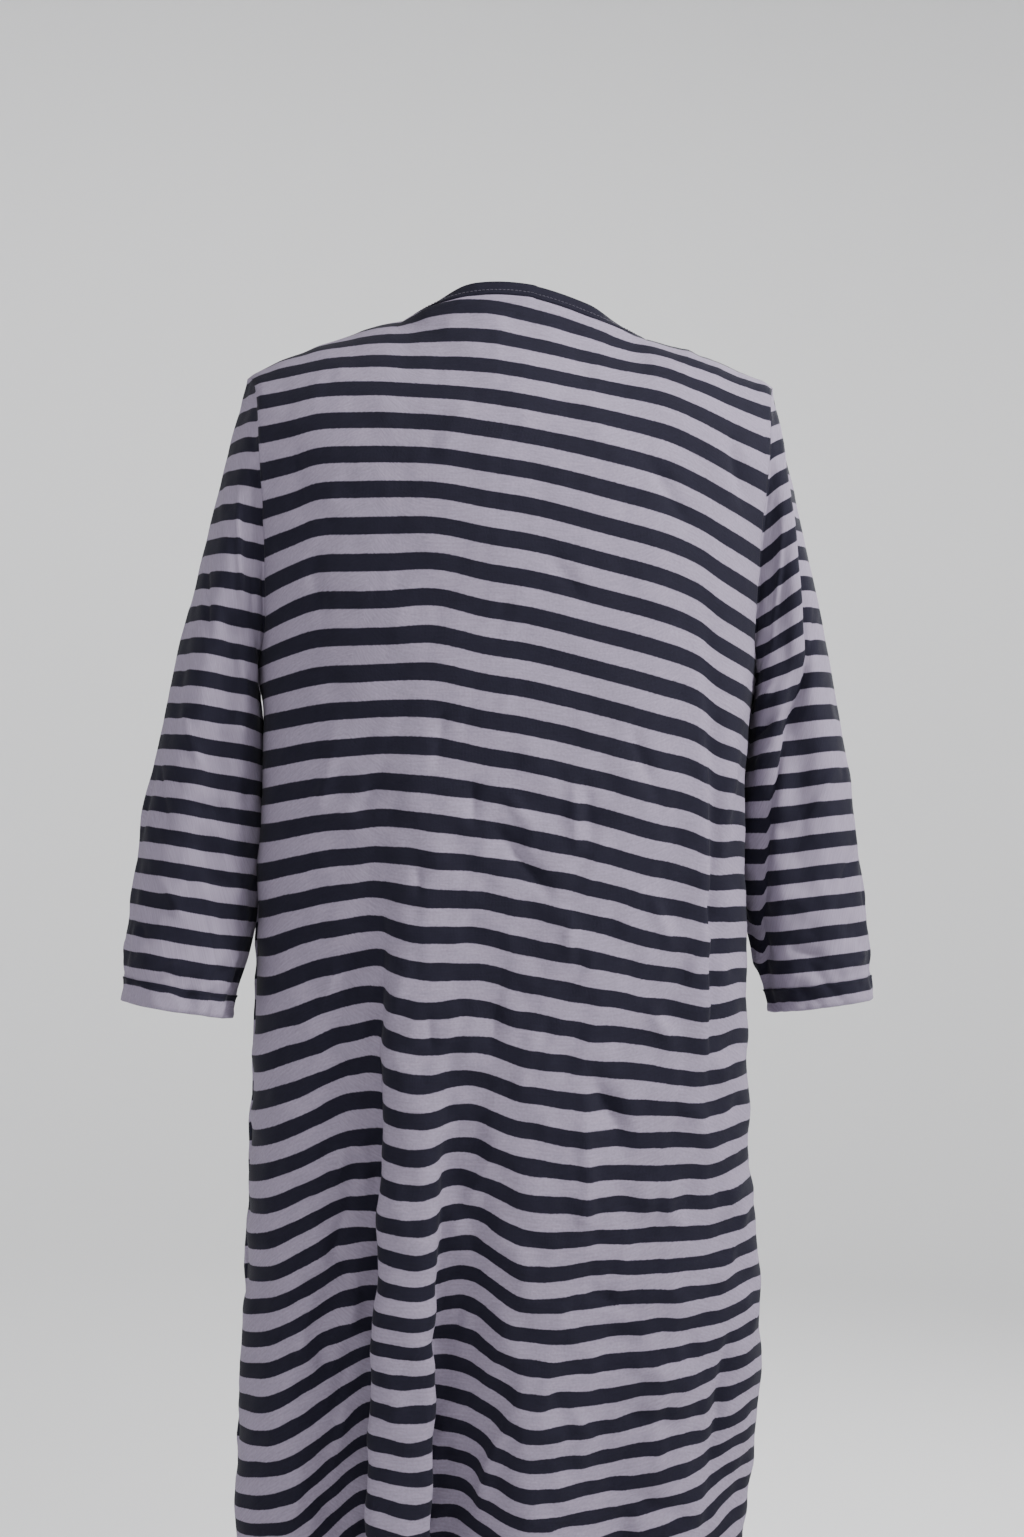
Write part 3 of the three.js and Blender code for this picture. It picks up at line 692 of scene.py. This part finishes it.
def panel_levels(points):
    """The height that sets a point's stripe: measured along the cloth over the shoulders."""
    z = points[..., 2]
    over = smooth((z[1:] - SHOULDER_LEVEL["z"]) / SHOULDER_LEVEL["blend"])
    step = np.linalg.norm(np.diff(points, axis=0), axis=-1)
    counted = step * over
    counted = np.concatenate([counted, np.zeros_like(counted[:1])])
    plain = np.diff(z, axis=0) * (1 - over)
    plain = np.concatenate([plain, np.zeros_like(plain[:1])])
    rise = np.cumsum((counted - plain)[::-1], axis=0)[::-1]
    return z[-1] + rise


def stripe_rise(face, x, level):
    """How much higher than on the middle the stripes run: the front takes the back's sides."""
    if face == "back":
        return read_chart(STRIPE_RISE, "rise", x, level)
    side = np.where(x < 0, STRIPE_RISE["x"][0], STRIPE_RISE["x"][-1])
    reach = np.clip(np.abs(x / side), 0, 1)
    return read_chart(STRIPE_RISE, "rise", side + 0 * x, level) * reach**2


def stripe_number(level):
    """Counts the stripes down from the top; a dark stripe's middle is at each whole number."""
    top = STRIPE_LEVELS["z"][-1]
    number = read(STRIPE_LEVELS, "z", np.minimum(level, top), "number")
    below = STRIPE_LEVELS["z"][0]
    under = np.clip(below - level, 0, None) / HEM_STRIPE_REPEAT
    return number - np.clip(level - top, 0, None) / STRIPE_REPEAT + under


def hem_layers(from_edge, depth):
    """How far the turned-up layer lifts the cloth, with a low line where it is sewn."""
    lift = 0.7 * smooth((depth + 1 - from_edge) / 3)
    return lift - 0.5 * np.exp(-(((from_edge - depth) / 2) ** 2))


def panel_relief(face, points):
    """How far seam rolls, creases, wrinkles and the hem's double layer lift a panel's cloth."""
    across = arc_lengths(points, 1)
    down = arc_lengths(points, 0)
    x, z = points[..., 0], points[..., 2]
    beside = np.minimum(across, across[:, -1:] - across)
    roll = seam_roll(beside) * seam_roll(down)
    pucker = cell_noise(down / 9, across / 40, PUCKER_SEED) * np.exp(-((beside - 4) ** 2) / 18)
    worn = mix(0.45, 1.15, smooth((-240 - z) / 300))
    wrinkles = PANEL_WRINKLES["wrinkle"] * crumple(x, z, WRINKLE_SEEDS[face]) * worn
    creases = PANEL_WRINKLES["crease"] * crease_height(CREASES[face], x, z)
    hem = hem_layers(down[-1:] - down, TURN_UP["hem"])
    return roll * (1 + wrinkles + creases + 0.4 * pucker) + hem


def make_panel(face):
    """A panel's cloth, with the outer layer's points and normals for the stitches."""
    points, sag = panel_form(face)
    level = panel_levels(points)
    relief = panel_relief(face, points)
    x, z = points[..., 0], points[..., 2]
    wobble = cell_noise(x / 19, z / 23, WOBBLE_SEED) * smooth((-200 - z) / 300)
    wobble += PANEL_WRINKLES["stripe"] * (relief - 1)
    level = level - stripe_rise(face, x, level) + sag + wobble
    normals = grid_normals(points, False, OUTWARD[face])
    cloth = np.stack([arc_lengths(points, 1), arc_lengths(points, 0), stripe_number(level)], -1)
    points = points + normals * relief[..., None]
    folded, cloth = turn_up(points, normals, cloth, TURN_UP["hem"])
    piece = cloth_mesh(f"{face}_panel_cloth", folded, cloth, False, -OUTWARD[face])
    return piece, points, normals


def sleeve_relief(name, points, turn, t):
    """How far the armhole roll, creases, wrinkles and the cuff's layers lift a sleeve's cloth."""
    down = arc_lengths(points, 0)
    degree, length = SLEEVE_FLAT
    around, along = np.degrees(turn), t * length
    signed = np.where(around > 180, around - 360, around)
    creases = crease_height(SLEEVE_CREASES[name], signed * degree, along, SLEEVE_FLAT)
    creases *= SLEEVE_WRINKLES["crease"]
    seed = WRINKLE_SEEDS[name]
    wrapped = [crumple((around + shift) * degree, along, seed) for shift in (0, 360)]
    worn = SLEEVE_WRINKLES["wrinkle"] * mix(0.6, 1.3, smooth((t - 0.3) / 0.5))
    wrinkles = mix(*wrapped, smooth((40 - around) / 40)) * worn
    seam = np.abs(around - 180) * degree
    hem = hem_layers(down[-1:] - down, TURN_UP["cuff"])
    near_armhole = np.exp(-((down - 5) ** 2) / 30)
    pucker = 0.5 * cell_noise(around / 7, along / 60, seed + PUCKER_SEED) * near_armhole
    return seam_roll(down) * seam_roll(seam) * (1 + wrinkles + creases + pucker) + hem


def down_chart(chart, column, z):
    """Reads a column of a chart at heights down the dress."""
    return np.interp(-z, -np.array(chart["z"]), chart[column])


def ridge_shape(points, turn, t):
    """How far the right sleeve's ridge moves the stripes down, and how far it stands out."""
    z = points[..., 2]
    toward_body = points[..., 0] - down_chart(RIDGE, "x", z)
    on_back = smooth(np.sin(turn) / 0.3)
    slip = down_chart(RIDGE, "fall", z) * np.clip(toward_body, 0, 40)
    slip += RIDGE_SLIP * smooth(toward_body / 1.5)
    crest = RIDGE_OUT * np.exp(-np.abs(toward_body / RIDGE_WIDTH) ** 1.3)
    trough = RIDGE_DIP * np.exp(-(((toward_body - 2.2 * RIDGE_WIDTH) / 7) ** 2))
    return slip * on_back, (crest - trough) * on_back * smooth(t / 0.08)


def make_sleeve(name, back, front):
    """A sleeve's cloth, with the outer layer's points and normals for the stitches."""
    points, turn, t = sleeve_form(name, back, front)
    side = SLEEVES[name]["side"]
    relief = sleeve_relief(name, points, turn, t)
    axis = np.array([side * 0.14, 0, -0.99])
    start = np.array([side * SLEEVE["out_x"][0], 0, SLEEVE["out_z"][0]])
    drop = (points - start) @ axis + down_chart(SLEEVE_RISE[name], "rise", points[..., 2])
    drop -= SLEEVE_WRINKLES["stripe"] * (relief - 1)
    if name == "right":
        slip, lift = ridge_shape(points, turn, t)
        drop -= slip
        relief = relief + lift
    number = drop / SLEEVE_STRIPE_REPEAT
    normals = grid_normals(points, True, side)
    half = points.shape[1] // 2
    points, normals, number, relief = (
        np.roll(grid, half, 1) for grid in (points, normals, number, relief)
    )
    across = arc_lengths(points, 1, closed=True)
    down, number = (np.concatenate([g, g[:, :1]], 1) for g in (arc_lengths(points, 0), number))
    cloth = np.stack([across, down, number], -1)
    points = points + normals * relief[..., None]
    folded, cloth = turn_up(points, normals, cloth, TURN_UP["cuff"])
    piece = cloth_mesh(f"{name}_sleeve_cloth", folded, cloth, True, -side)
    return piece, points, normals


def make_stitches(name, lines):
    """Rows of short thread stitches, joined in one mesh; each line has points and normals."""
    shares = np.array(STITCH_SHARES)
    radii = STITCH["radius"] * np.array(STITCH_WIDTHS)
    angles = np.arange(STITCH["sides"]) / STITCH["sides"] * 2 * math.pi
    length, pitch = STITCH["length"], STITCH["pitch"]
    verts, faces = [], []
    for points, normals, closed in lines:
        if closed:
            points = np.concatenate([points, points[:1]])
            normals = np.concatenate([normals, normals[:1]])
        along = np.concatenate([[0], np.cumsum(np.linalg.norm(np.diff(points, axis=0), axis=1))])
        starts = np.arange(pitch / 2, along[-1] - length, pitch)
        at = starts[:, None] + shares * length
        place = np.stack([np.interp(at, along, points[:, i]) for i in range(3)], -1)
        out = np.stack([np.interp(at, along, normals[:, i]) for i in range(3)], -1)
        out /= np.linalg.norm(out, axis=-1, keepdims=True)
        ahead = np.gradient(place, axis=1)
        ahead /= np.linalg.norm(ahead, axis=-1, keepdims=True)
        beside = np.cross(ahead, out)
        lift = STITCH["arch"] * np.sin(shares * math.pi)[None, :, None]
        centre = place + out * (STITCH["height"] + lift)
        round_it = np.cos(angles)[:, None] * beside[:, :, None]
        round_it = round_it + np.sin(angles)[:, None] * out[:, :, None]
        ring = centre[:, :, None] + radii[None, :, None, None] * round_it
        base = sum(len(v) for v in verts)
        verts.append(ring.reshape(-1, 3))
        sides, rings = len(angles), len(shares)
        for stitch in range(len(starts)):
            first = base + stitch * sides * rings
            for k in range(rings - 1):
                for j in range(sides):
                    a, b = first + k * sides + j, first + k * sides + (j + 1) % sides
                    faces.append((a, b, b + sides, a + sides))
            faces.append(tuple(first + j for j in reversed(range(sides))))
            faces.append(tuple(first + (rings - 1) * sides + j for j in range(sides)))
    return add_mesh(name, (np.concatenate(verts) * MM).tolist(), faces)


def twin_lines(points, normals, depth, closed):
    """The two lines of a twin-needle seam that holds a turned-up edge."""
    lines = []
    for inset in TWIN_INSETS:
        places = up_from_edge(points, points, depth - inset)
        lines.append((places, up_from_edge(points, normals, depth - inset), closed))
    return lines


def make_binding(back, front):
    """The neck binding: a narrow strip folded over the neck edge, with a rounded top."""
    back_edge = back[0, SHOULDER_COLUMNS:-SHOULDER_COLUMNS]
    front_edge = front[0, SHOULDER_COLUMNS:-SHOULDER_COLUMNS]
    loop = np.concatenate([back_edge, front_edge[::-1][1:-1]])
    along = np.roll(loop, -1, 0) - np.roll(loop, 1, 0)
    along /= np.linalg.norm(along, axis=1, keepdims=True)
    rise = np.stack([NECK_SHIFT - loop[:, 0], -loop[:, 1], 0 * loop[:, 0]], -1)
    aside = np.abs(loop[:, :1] - NECK_SHIFT) / NECK_HALF
    lean = mix(BINDING_LEAN["middle"], BINDING_LEAN["side"], smooth((aside - 0.45) / 0.5))
    rise = lean * rise / np.linalg.norm(rise, axis=1, keepdims=True) + [0, 0, 1]
    rise -= along * np.sum(rise * along, 1, keepdims=True)
    rise /= np.linalg.norm(rise, axis=1, keepdims=True)
    outside = np.cross(rise, along)
    outside *= np.sign(np.sum(outside * (loop - loop.mean(0)), 1, keepdims=True))
    half, bottom = BINDING["half"], BINDING["below"]
    bend = BINDING["height"] - half
    profile = [(-half, bottom), (-half - 0.1, 0), (-half, 2.5), (-half, 5), (-half, bend)]
    bends = np.linspace(0.3, math.pi - 0.3, 7)
    profile += [(-half * math.cos(a), bend + half * math.sin(a)) for a in bends]
    profile += [(half, bend), (half, 5), (half, 2.5), (half, 0), (half, bottom)]
    points = np.stack([loop - outside * a + rise * b for a, b in profile], 0)
    across = arc_lengths(points, 1, closed=True)
    down = arc_lengths(points, 0)
    down = np.concatenate([down, down[:, :1]], 1)
    cloth = np.stack([across, down, np.zeros_like(down)], -1)
    sewn = (loop + outside * (half + 0.1) + rise * BINDING["sewn"], outside, True)
    return cloth_mesh("neck_binding_cloth", points, cloth, True, -1), sewn


def new_material(name, roughness):
    """A material with this roughness; its nodes, links and shader come with it."""
    material = bpy.data.materials.new(name)
    material.use_nodes = True
    tree = material.node_tree
    shader = tree.nodes["Principled BSDF"]
    shader.inputs["Roughness"].default_value = roughness
    return material, tree.nodes, tree.links, shader


def jersey_material(name, light, dark):
    """Jersey with knitted-in stripes, a fine knit and a faded, slightly uneven dye."""
    material, nodes, links, shader = new_material(name, 0.88)
    shader.inputs["Sheen Weight"].default_value = 0.03
    shader.inputs["Sheen Roughness"].default_value = 0.5
    shader.inputs["Specular IOR Level"].default_value = 0.15
    cloth = nodes.new("ShaderNodeAttribute")
    cloth.attribute_name = "cloth"
    parts = nodes.new("ShaderNodeSeparateXYZ")
    links.new(cloth.outputs["Vector"], parts.inputs[0])
    across, down, number = (parts.outputs[axis] for axis in "XYZ")

    def math_node(operation, *values):
        """The outcome of a sum of numbers and of what other nodes give."""
        node = nodes.new("ShaderNodeMath")
        node.operation = operation
        for socket, value in zip(node.inputs, values):
            if isinstance(value, (int, float)):
                socket.default_value = value
            else:
                links.new(value, socket)
        return node.outputs[0]

    def noise_node(across_scale, down_scale, detail):
        """Noise from -1 to 1 over the cloth, with cells of the given sizes in mm."""
        place = nodes.new("ShaderNodeCombineXYZ")
        links.new(math_node("DIVIDE", across, across_scale), place.inputs[0])
        links.new(math_node("DIVIDE", down, down_scale), place.inputs[1])
        node = nodes.new("ShaderNodeTexNoise")
        node.inputs["Scale"].default_value = 1
        node.inputs["Detail"].default_value = detail
        links.new(place.outputs[0], node.inputs["Vector"])
        return math_node("MULTIPLY_ADD", node.outputs["Fac"], 2, -1)

    share = math_node("FRACT", math_node("ADD", number, 0.5))
    offset = math_node("ABSOLUTE", math_node("SUBTRACT", share, 0.5))
    uneven = 1
    noises = {}
    for dye, values in DYE.items():
        noises[dye] = noise_node(*values["cell"])
        offset = math_node("MULTIPLY_ADD", noises[dye], values["edge"], offset)
        uneven = math_node("MULTIPLY_ADD", noises[dye], values["colour"], uneven)
    edge = nodes.new("ShaderNodeMapRange")
    edge.inputs["From Min"].default_value = STRIPE_EDGE[0]
    edge.inputs["From Max"].default_value = STRIPE_EDGE[1]
    links.new(offset, edge.inputs["Value"])
    blend = nodes.new("ShaderNodeMix")
    blend.data_type = "RGBA"
    blend.inputs["A"].default_value = (*dark, 1)
    blend.inputs["B"].default_value = (*light, 1)
    links.new(edge.outputs[0], blend.inputs["Factor"])

    shade = nodes.new("ShaderNodeVectorMath")
    shade.operation = "SCALE"
    links.new(blend.outputs["Result"], shade.inputs[0])
    links.new(uneven, shade.inputs["Scale"])
    links.new(shade.outputs[0], shader.inputs["Base Color"])

    wale = math_node("SINE", math_node("MULTIPLY", across, math.pi / KNIT["column"]))
    course = math_node("SINE", math_node("MULTIPLY", down, 2 * math.pi / KNIT["row"]))
    knit = math_node("MULTIPLY_ADD", course, 0.25, math_node("ABSOLUTE", wale))
    fuzz = math_node("MULTIPLY", noises["heather"], 0.9)
    height = math_node("MULTIPLY_ADD", knit, 0.5, fuzz)
    bump = nodes.new("ShaderNodeBump")
    bump.inputs["Strength"].default_value = KNIT["strength"]
    bump.inputs["Distance"].default_value = KNIT["height"] * MM
    links.new(height, bump.inputs["Height"])
    links.new(bump.outputs[0], shader.inputs["Normal"])
    return material


def thread_material(name, color):
    """Spun sewing thread with a slight gloss and an uneven dye."""
    material, nodes, links, shader = new_material(name, 0.6)
    place = nodes.new("ShaderNodeTexCoord")
    noise = nodes.new("ShaderNodeTexNoise")
    noise.inputs["Scale"].default_value = 900
    links.new(place.outputs["Object"], noise.inputs["Vector"])
    ramp = nodes.new("ShaderNodeMix")
    ramp.data_type = "RGBA"
    ramp.inputs["A"].default_value = (*(0.8 * c for c in color), 1)
    ramp.inputs["B"].default_value = (*(1.2 * c for c in color), 1)
    links.new(noise.outputs["Fac"], ramp.inputs["Factor"])
    links.new(ramp.outputs["Result"], shader.inputs["Base Color"])
    return material


def make_camera():
    """The camera of the photograph: 50 mm, a little to the wearer's left and looking up."""
    turn = math.radians(CAMERA["turn"])
    roll = math.radians(CAMERA["roll"])
    pitch = math.atan((PHOTO["horizon"] - PHOTO["middle"]) / PHOTO["focal"])
    back = Vector((math.sin(turn), math.cos(turn), 0))
    right = Vector((-math.cos(turn), math.sin(turn), 0))
    forward = -back * math.cos(pitch) + Vector((0, 0, math.sin(pitch)))
    up = right.cross(forward)
    rolled_right = right * math.cos(roll) + up * math.sin(roll)
    rolled_up = up * math.cos(roll) - right * math.sin(roll)
    data = bpy.data.cameras.new("camera")
    data.lens = LENS["length"]
    data.sensor_width = LENS["sensor"]
    data.sensor_fit = "AUTO"
    camera = add_object("camera", data)
    turned = Matrix((rolled_right, rolled_up, -forward)).transposed()
    place = back * CAMERA["distance"] + Vector((0, 0, CAMERA["eye"])) + right * CAMERA["aside"]
    camera.matrix_world = Matrix.Translation(place) @ turned.to_4x4()
    bpy.context.scene.camera = camera


def make_surround():
    """A pale studio floor that curves up into a plain wall all round."""
    level, flat, bend = FLOOR["level"], FLOOR["flat"], FLOOR["bend"]
    angles = np.linspace(0, math.pi / 2, 17)
    profile = [(flat * share, level) for share in (0.25, 0.5, 0.75)]
    profile += [(flat + bend * math.sin(a), level + bend * (1 - math.cos(a))) for a in angles]
    profile.append((flat + bend, FLOOR["top"]))
    count = 96
    around = np.arange(count) / count * 2 * math.pi
    verts = [(0, 0, level)]
    verts += [(r * math.cos(a), r * math.sin(a), z) for r, z in profile for a in around]
    faces = [(0, 1 + i, 1 + (i + 1) % count) for i in range(count)]
    for ring in range(len(profile) - 1):
        for i in range(count):
            a, b = 1 + ring * count + i, 1 + ring * count + (i + 1) % count
            faces.append((a, a + count, b + count, b))
    surround = add_mesh("surround", verts, faces)
    material, _, _, shader = new_material("pale_floor", 0.9)
    shader.inputs["Base Color"].default_value = (*FLOOR_COLOR, 1)
    shader.inputs["Specular IOR Level"].default_value = 0.1
    surround.data.materials.append(material)


def make_light(name, place, target, size, power):
    """A square area light aimed at a point, itself unseen by the camera."""
    data = bpy.data.lights.new(name, "AREA")
    data.shape = "SQUARE"
    data.size = size
    data.energy = power
    light = add_object(name, data)
    light.location = place
    light.visible_camera = False
    aim = Vector(target) - Vector(place)
    light.rotation_mode = "QUATERNION"
    light.rotation_quaternion = aim.to_track_quat("-Z", "Y")


def make_lights():
    """Soft lights round the dress, and a ring of lights that brighten the wall."""
    for name, values in LIGHTS.items():
        make_light(name, *values)
    wall = WALL_LIGHTS
    for number in range(wall["count"]):
        angle = (number + 0.5) / wall["count"] * 2 * math.pi
        ahead = Vector((math.cos(angle), math.sin(angle), 0))
        place = wall["out"] * ahead + Vector((0, 0, wall["up"]))
        make_light(f"wall_{number}", place, wall["aim"] * ahead, wall["size"], wall["power"])
    world = bpy.data.worlds.new("studio")
    world.use_nodes = True
    sky = world.node_tree.nodes["Background"]
    sky.inputs["Color"].default_value = SKY["color"]
    sky.inputs["Strength"].default_value = SKY["strength"]
    bpy.context.scene.world = world


make_camera()
make_surround()
make_lights()

striped = jersey_material("striped_jersey_cloth", LIGHT_STRIPE, DARK_STRIPE)
plain = jersey_material("dark_jersey_cloth", BINDING_COLOR, BINDING_COLOR)
thread = thread_material("dark_thread", THREAD_COLOR)

back_piece, back_points, back_normals = make_panel("back")
front_piece, front_points, front_normals = make_panel("front")
back_form = panel_form("back")[0]
front_form = panel_form("front")[0]
left_piece, left_points, left_normals = make_sleeve("left", back_form, front_form)
right_piece, right_points, right_normals = make_sleeve("right", back_form, front_form)
binding_piece, binding_line = make_binding(back_form, front_form)

cloths = [
    (back_piece, "back_panel", striped, "striped_jersey", (0.59, 0.99), 0.46),
    (front_piece, "front_panel", striped, "striped_jersey", (0.61, 0.96), 0.47),
    (left_piece, "left_sleeve", striped, "striped_jersey", (0.46, 0.5), 0.115),
    (right_piece, "right_sleeve", striped, "striped_jersey", (0.46, 0.5), 0.115),
    (binding_piece, "neck_binding", plain, "dark_jersey", (0.48, 0.026), None),
]
for piece, node, material, slot, flat, area in cloths:
    piece.data.materials.append(material)
    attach(piece, "root")
    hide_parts(node)

hem_lines = twin_lines(back_points, back_normals, TURN_UP["hem"], False)
hem_lines += twin_lines(front_points, front_normals, TURN_UP["hem"], False)
stitchings = [
    ("hem_stitching", hem_lines),
    ("left_cuff_stitching", twin_lines(left_points, left_normals, TURN_UP["cuff"], True)),
    ("right_cuff_stitching", twin_lines(right_points, right_normals, TURN_UP["cuff"], True)),
    ("neck_stitching", [binding_line]),
]
for name, lines in stitchings:
    piece = make_stitches(name, lines)
    piece.data.materials.append(thread)
    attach(piece, "root")
